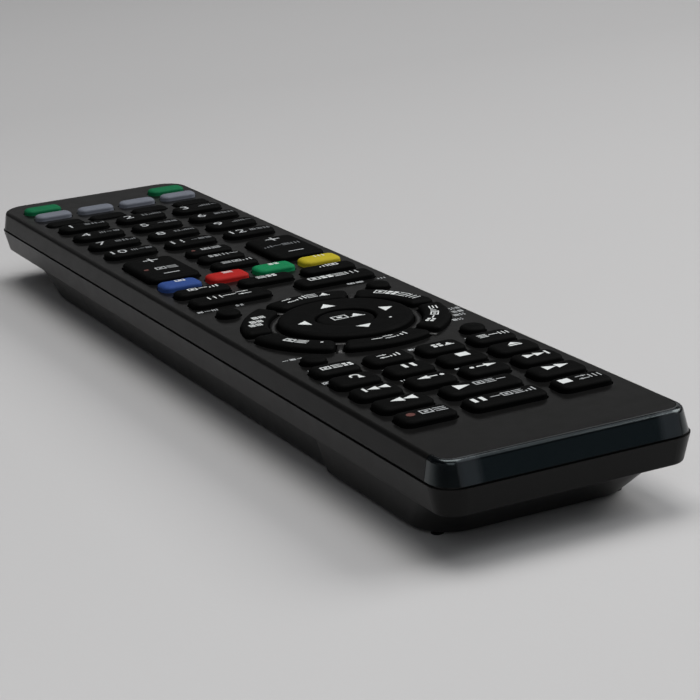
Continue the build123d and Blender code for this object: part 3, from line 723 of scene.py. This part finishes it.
def printed(name, node, colour, outlines, height, centre=(0.0, 0.0)):
    """Piece of printed marks on one node."""
    mesh = bmesh.new()
    for outline in outlines:
        ink(mesh, [(centre[0] + u, centre[1] + v) for u, v in outline], height)
    piece(name, mesh, colour, node)


def marks_on_key(node, index, outlines, colour, tag=""):
    """Marks placed about the middle of one block key."""
    box = KEY_BOXES[node][index]
    middle = (box[0] + box[1]) / 2
    printed(f"mark_{node}_{index}{tag}", node, colour, outlines, block_top(box), (middle.x, middle.y))


# Transport keys
for index, (kinds, shift) in enumerate((
    (("frame", "list", "grid"), 0.3), (("slider", "steps"), 0.0), (("grid", "gauge"), 0.4),
    (("list", "dash", "bars"), 0.3),
)):
    marks_on_key("option_keys", index, strip(kinds, shift, -0.3, 2.2 * len(kinds), 1.7), WHITE_INK)
marks_on_key("record_key", 0, [dot(-2.9, 0.0, 0.85)], RED_INK)
marks_on_key("record_key", 0, strip(("frame", "list"), 1.6, 0.0, 5.2, 1.9), GREY_INK, "_strip")
marks_on_key("pause_key", 0, [bar(-6.1, 0.1, 0.8, 2.2), bar(-4.4, 0.1, 0.8, 2.2)], WHITE_INK)
marks_on_key("pause_key", 0, strip(("dash", "frame", "list", "steps"), 1.7, 0.1, 9.0, 1.8), GREY_INK,
             "_strip")
marks_on_key("stop_key", 0, [bar(-3.3, 0.1, 2.2, 2.2)], WHITE_INK)
marks_on_key("stop_key", 0, strip(("slider", "bars"), 1.7, 0.1, 4.8, 1.8), GREY_INK, "_strip")
marks_on_key("rewind_key", 0, double_head(-1), WHITE_INK)
marks_on_key("play_key", 0, [arrow_head(-3.7, 0.1, 3.0, 2.7, 0)], WHITE_INK)
marks_on_key("play_key", 0, strip(("frame", "list", "dash"), 2.0, 0.1, 6.6, 1.8), GREY_INK, "_strip")
marks_on_key("forward_key", 0, double_head(1), WHITE_INK)
marks_on_key("previous_key", 0, [bar(-2.2, 0.2, 0.5, 2.1), *double_head(-1, 0.5, 0.2, 2.2, 2.1)], WHITE_INK)
marks_on_key("next_key", 0, [bar(2.4, 0.2, 0.5, 2.1), *double_head(1, -0.3, 0.2, 2.2, 2.1)], WHITE_INK)
marks_on_key("replay_key", 0, skip_arrow(-1), WHITE_INK)
marks_on_key("skip_key", 0, skip_arrow(1), WHITE_INK)
marks_on_key("deck_pause_key", 0, [bar(-0.7, 0.3, 0.75, 2.2), bar(1.1, 0.3, 0.75, 2.2)], WHITE_INK)
marks_on_key("deck_stop_key", 0, [bar(0.4, 0.3, 2.5, 2.2)], WHITE_INK)
marks_on_key("eject_key", 0, [arrow_head(0.2, 0.7, 1.4, 2.8, 90), bar(0.2, -0.6, 2.8, 0.5)], WHITE_INK)
marks_on_key("loop_key", 0, [*hoop(0.2, 0.4, 1.1, 0.45, -60, 210), arrow_head(0.9, -0.7, 1.2, 1.2, 200)],
             WHITE_INK)

# Colour keys, menu keys and wide keys
for colour, kind in (("blue", "frame"), ("red", "list"), ("green", "grid"), ("yellow", "bars")):
    marks_on_key(f"{colour}_key", 0, strip((kind,), 0.4, 0.8, 2.3, 1.5), WHITE_INK)
for index, kinds in enumerate((("frame", "dash", "steps"), ("list", "grid"), ("steps", "frame"))):
    marks_on_key("menu_keys", index, strip(kinds, 0.2, 0.1, 2.3 * len(kinds), 1.7), WHITE_INK)
marks_on_key("menu_keys", 3, strip(("bars", "dash", "slider"), -0.2, 0.0, 9.6, 2.1), WHITE_INK)
marks_on_key("menu_keys", 4, strip(("frame", "grid", "list", "bars"), -0.2, 0.2, 11.8, 2.0), WHITE_INK)

# Rockers and the keys between them
for node in ("rocker_left", "rocker_right"):
    plus = [bar(0.2, 6.8, 3.6, 0.5), bar(0.2, 6.8, 0.5, 3.4)]
    minus = bar(0.2, -6.4, 3.8, 0.4)
    marks_on_key(node, 0, [*plus, minus], GREY_INK)
marks_on_key("rocker_left", 0, strip(("frame", "list"), 0.8, -1.6, 5.2, 2.0), GREY_INK, "_strip")
marks_on_key("rocker_left", 0, [dot(-3.9, -1.2, 0.6)], RED_INK, "_dot")
marks_on_key("rocker_right", 0, strip(("steps", "dash", "list", "bars"), -0.4, 0.4, 9.0, 1.6), DIM_INK,
             "_strip")
for index, kinds in enumerate((("frame", "list"), ("grid", "bars", "dash"), ("list", "frame", "steps"))):
    marks_on_key("middle_keys", index, strip(kinds, 0.6, 0.0, 2.4 * len(kinds), 1.6), GREY_INK)
marks_on_key("middle_keys", 0, [dot(-3.8, 0.0, 0.5)], RED_INK, "_dot")

# Numerals on the number keys, and the small icons beside them
NUMBER_KEYS = 12
NUMERAL_SIZE = 3.9
NUMERAL_SMOOTHNESS = 4
NUMERAL_STRETCH = 1.25
NUMERAL_PLACE = (-3.4, -0.5)
SUB_KINDS = ("list", "grid", "steps", "bars", "dash", "frame")
SUB_COUNT = 3


def numeral_mesh(text):
    """Flat mesh of a plain numeral, in millimetres."""
    curve = bpy.data.curves.new("numeral", "FONT")
    curve.body = text
    curve.size = NUMERAL_SIZE
    curve.align_x = "CENTER"
    curve.align_y = "CENTER"
    curve.resolution_u = NUMERAL_SMOOTHNESS
    made = bpy.data.objects.new("numeral", curve)
    bpy.context.scene.collection.objects.link(made)
    bpy.context.view_layer.update()
    data = bpy.data.meshes.new_from_object(made)
    bpy.data.objects.remove(made)
    return data


def numeral_on_key(node, text):
    """Numeral printed on the left of a number key."""
    box = KEY_BOXES[node][0]
    middle = (box[0] + box[1]) / 2
    height = block_top(box)
    flat = numeral_mesh(text)
    mesh = bmesh.new()
    mesh.from_mesh(flat)
    bpy.data.meshes.remove(flat)
    bmesh.ops.triangulate(mesh, faces=mesh.faces[:])
    for vertex in mesh.verts:
        x = middle.x + NUMERAL_PLACE[0] + vertex.co.x * NUMERAL_STRETCH
        y = middle.y + NUMERAL_PLACE[1] + vertex.co.y
        vertex.co = Vector((x, y, height(x, y) - INK_DEPTH)) * MM
    raised = bmesh.ops.extrude_face_region(mesh, geom=mesh.faces[:])
    for vertex in raised["geom"]:
        if isinstance(vertex, bmesh.types.BMVert):
            vertex.co.z += (INK_DEPTH + INK_LIFT) * MM
    bmesh.ops.recalc_face_normals(mesh, faces=mesh.faces[:])
    piece(f"numeral_{text}", mesh, GREY_INK, node)


for index in range(NUMBER_KEYS):
    node = f"number_{index + 1}_key"
    numeral_on_key(node, str(index + 1))
    kinds = [SUB_KINDS[(index + k) % len(SUB_KINDS)] for k in range(SUB_COUNT)]
    marks_on_key(node, 0, strip(kinds, 2.6, -0.5, 5.0, 1.3), DIM_INK)

# Arrows on the disc: how far from its centre, and their length and width
ARROW_ASIDE = 9.6
ARROW_AHEAD = 9.2
ARROW_SIZE = (2.4, 3.4)


# Disc, centre key and ring keys
def disc_top(x, y):
    """Height of the dished disc at a point."""
    inner, outer = DISC_BORE + BORE_ROUNDING, disc_radius - DISC_ROUNDING
    share = (hypot(x - RING_MIDDLE.x, y - RING_MIDDLE.y) - inner) / (outer - inner)
    return ring_high.z - DISC_DISH * (1 - min(share, 1))


def centre_top(x, y):
    """Height of the centre key's shallow dome at a point."""
    share = hypot(x - RING_MIDDLE.x, y - RING_MIDDLE.y) / (centre_radius - CENTRE_ROUNDING)
    return centre_high.z - CENTRE_CROWN * min(share, 1) ** 2


arrows = [arrow_head(ARROW_ASIDE * cos(radians(way)), ARROW_AHEAD * sin(radians(way)), *ARROW_SIZE, way)
          for way in (0, 90, 180, 270)]
printed("mark_nav_disc", "nav_disc", WHITE_INK, [*arrows, dot(6.9, -6.7, 0.3)], disc_top, RING_MIDDLE.xy)
printed("mark_centre_key", "centre_key", WHITE_INK, strip(("frame", "gauge"), 0.6, 0.3, 7.0, 2.4),
        centre_top, RING_MIDDLE.xy)


def bent(outlines, middle, radius, inwards=False):
    """Outlines wrapped round the ring, about an angle in degrees, reading along it."""
    way = 1 if inwards else -1
    found = []
    for outline in outlines:
        wrapped = []
        for u, v in outline:
            reach = radius - way * v
            angle = radians(middle) + way * u / radius
            wrapped.append((reach * cos(angle), reach * sin(angle)))
        found.append(wrapped)
    return found


small_rows = [outline for x, y in ((-15.1, 10.0), (-16.7, 7.4), (-17.8, 5.2))
              for outline in strip(("frame", "bars"), x, y, 2.7, 1.6)]
RING_MARKS = (
    bent(strip(("frame", "grid", "list", "bars"), 0, 0, 11.0, 2.2), 27, 18.6),
    bent(strip(("slider", "steps", "list", "gauge"), 0, 0, 10.6, 2.2), 91, 18.4),
    small_rows,
    bent([*strip(("frame", "list"), 0, 0, 5.4, 1.6), dot(5.6, 0.4, 0.3)], 212, 18.9, True),
    bent(strip(("dash", "slider", "steps"), 0, 0, 7.6, 1.6), 271, 18.7, True),
    bent(strip(("list", "steps", "frame", "dash", "grid"), 0, 0, 11.4, 1.7), 328, 18.3),
)
segment_top = extent("ring_key_1")[1].z
for index, outlines in enumerate(RING_MARKS):
    node = f"ring_key_{index + 1}"
    printed(f"mark_{node}", node, WHITE_INK, outlines, lambda x, y: segment_top, RING_MIDDLE.xy)

# Small marks printed on the shell: place across and up from the near end of the face, width, height, icons.
# The case stands out past the near end of the face
NEAR_OUT = 1.6
face_near = cad_box[0].y / MM + NEAR_OUT
SHELL_MARKS = (
    (-19.8, 111.1, 4.6, 1.0, ("list", "dash", "bars")),
    (-12.3, 111.3, 1.7, 1.0, ("grid",)),
    (15.6, 111.8, 3.8, 1.0, ("frame", "list")),
    (22.0, 111.8, 1.8, 0.9, ("bars",)),
    (-20.0, 68.4, 4.4, 1.0, ("dash", "list", "dash")),
    (-20.4, 59.6, 0.9, 0.7, ("block",)),
    (-8.4, 59.8, 0.9, 0.7, ("block",)),
    (2.2, 60.0, 2.4, 1.0, ("frame", "bars")),
    (14.2, 60.2, 1.2, 0.7, ("dash",)),
    (-21.2, 51.0, 1.6, 1.2, ("frame",)),
    (-8.8, 51.4, 0.7, 0.6, ("block",)),
    (15.2, 52.3, 0.7, 0.6, ("block",)),
    (-8.6, 43.6, 1.6, 0.8, ("bars",)),
    (2.8, 43.7, 1.1, 0.8, ("list",)),
    (19.3, 73.0, 2.2, 1.2, ("frame", "grid")),
    (22.8, 80.6, 2.3, 1.3, ("grid", "list")),
    (22.2, 78.2, 2.4, 1.3, ("list", "frame")),
    (21.3, 75.9, 2.5, 1.3, ("bars", "grid")),
)
outlines = [outline for x, y, width, height, kinds in SHELL_MARKS
            for outline in strip(kinds, x, face_near + y, width, height)]
printed("shell_marks", "top_case", GREY_INK, outlines, lambda x, y: FACE)

# Lighter, glossier sheet on the web between the disc and the ring keys and on its ribs: a painted highlight
# where the shell catches the light there
skin = bmesh.new()
turned(skin, [(WEB_INNER, FACE - WEB_SKIN), (WEB_OUTER, FACE - WEB_SKIN), (WEB_OUTER, FACE + WEB_SKIN),
              (WEB_INNER, FACE + WEB_SKIN)], RING_MIDDLE, TURN_STEPS)
for index in range(SEGMENT_COUNT):
    turn = index * SEGMENT_SPAN
    along, across = Vector((cos(turn), sin(turn), 0)), Vector((-sin(turn), cos(turn), 0)) * WEB_RIB / 2
    rib = [[RING_MIDDLE.xy.to_3d() + along * reach + across * side + Vector((0, 0, height))
            for reach, side in ((WEB_OUTER, -1), (WEB_HOLE, -1), (WEB_HOLE, 1), (WEB_OUTER, 1))]
           for height in (FACE - WEB_SKIN, FACE + WEB_SKIN)]
    stack(skin, rib)
piece("ring_web_painted_highlight", skin, WEB_HIGHLIGHT, "top_case")

# Floor, with its places in metres
FLOOR_RADIUS = 4.0
FLOOR_SIDES = 96
FLOOR_DROP = 0.00002
NEAR_FLOOR = (0.54, 0.54, 0.545)
# Painted shade: the floor's colour darkens towards this, from the first place of FLOOR_SHADE to the second
SHADED_FAR_FLOOR = (0.42, 0.42, 0.425)
FLOOR_SHADE = (-0.15, 0.35)


def floor_paper():
    """Pale matt paper, with painted shade that makes it a little darker away from the camera."""
    material = finish("floor_paper", NEAR_FLOOR, 0.85, grain=700, relief=0.05, mottle=6, change=0.02,
                      specular=0.2)
    nodes, links, shader, axes, near_tone = workings(material)
    away = ramp(nodes, links, axes["Y"], *FLOOR_SHADE)
    links.new(blended(nodes, links, away, near_tone, SHADED_FAR_FLOOR), shader.inputs["Base Color"])
    return material


floor_mesh = bmesh.new()
bmesh.ops.create_circle(floor_mesh, cap_ends=True, segments=FLOOR_SIDES, radius=FLOOR_RADIUS)
floor_data = bpy.data.meshes.new("floor")
floor_mesh.to_mesh(floor_data)
floor_mesh.free()
floor = bpy.data.objects.new("floor", floor_data)
floor.location.z = cad_box[0].z - FLOOR_DROP
bpy.context.scene.collection.objects.link(floor)
floor_data.materials.append(floor_paper())

# Room around the part. A place is a direction of one unit, and each pair is where a change starts and ends
RISE = (0.21, 0.29)
CEILING_RISE = (0.31, 0.37)
DOME_RISE = (0.62, 0.75)
DOME_SIDE = (-0.05, 0.25)
FAR_SIDE = (-0.45, 0.1)
BACK_SIDE = (0.0, 0.3)
BACK_REACH = (-0.8, -0.45)
SIDE_REACH = (0.6, 0.3)
SKIRTING = (0.03, 0.03, 0.03)
FAR_WALL = (0.64, 0.64, 0.64)
LEFT_WALL = (0.045, 0.045, 0.045)
SIDE_WALL = (0.4, 0.4, 0.4)
BACK_WALL = (0.115, 0.145, 0.16)
CEILING = (0.018, 0.018, 0.018)
DOME = (0.55, 0.57, 0.6)


def studio_world():
    """Walls round the part, dark near the floor and above them, then a pale dome overhead on the right."""
    world = bpy.data.worlds.new("studio")
    bpy.context.scene.world = world
    world.use_nodes = True
    nodes, links = world.node_tree.nodes, world.node_tree.links
    axes = axes_of(nodes, links, nodes.new("ShaderNodeTexCoord").outputs["Generated"])

    def change(axis, limits, low, high):
        """Colour that goes from low to high between two limits along an axis."""
        return blended(nodes, links, ramp(nodes, links, axes[axis], *limits), low, high)

    left = change("Y", SIDE_REACH, LEFT_WALL, change("Z", RISE, LEFT_WALL, SIDE_WALL))
    ahead = change("X", FAR_SIDE, left, change("Z", RISE, SKIRTING, FAR_WALL))
    wall = change("Y", BACK_REACH, change("X", BACK_SIDE, left, BACK_WALL), ahead)
    overhead = change("Z", DOME_RISE, CEILING, change("X", DOME_SIDE, CEILING, DOME))
    room = change("Z", CEILING_RISE, wall, overhead)
    links.new(room, nodes["Background"].inputs["Color"])


studio_world()


def soft_lamp(name, place, size, watts, colour):
    """Rectangular lamp aimed at the part, with its place and size in metres."""
    data = bpy.data.lights.new(name, "AREA")
    data.shape = "RECTANGLE"
    data.size, data.size_y = size
    data.energy = watts
    data.color = colour
    lamp = bpy.data.objects.new(name, data)
    lamp.location = place
    lamp.rotation_euler = (-Vector(place)).to_track_quat("-Z", "Y").to_euler()
    bpy.context.scene.collection.objects.link(lamp)


soft_lamp("overhead", (0.1, 0.2, 1.35), (0.9, 0.9), 11.4, (1.0, 0.98, 0.96))
soft_lamp("right_light", (1.3, -0.2, 1.1), (1.2, 0.85), 16.0, (1.0, 0.99, 0.975))
soft_lamp("left_fill", (-0.6, -1.0, 0.9), (0.8, 0.8), 2.6, (0.97, 0.98, 1.0))

# Camera
camera_data = bpy.data.cameras.new("camera")
camera_data.lens = CAMERA_LENS
camera_data.sensor_width = SENSOR_WIDTH
camera_data.clip_start = CAMERA_NEAREST
camera = bpy.data.objects.new("camera", camera_data)
turn, tip, roll = radians(CAMERA_TURN), radians(CAMERA_TIP), radians(CAMERA_ROLL)
forward = Vector((sin(turn) * cos(tip), cos(turn) * cos(tip), -sin(tip)))
level = forward.cross(Vector((0, 0, 1))).normalized()
upward = level.cross(forward)
right = level * cos(roll) + upward * sin(roll)
above = upward * cos(roll) - level * sin(roll)
turned_axes = Matrix((right, above, -forward)).transposed().to_4x4()
camera.matrix_world = Matrix.Translation(CAMERA_PLACE) @ turned_axes
bpy.context.scene.collection.objects.link(camera)
bpy.context.scene.camera = camera
bpy.context.scene.view_settings.view_transform = "Standard"
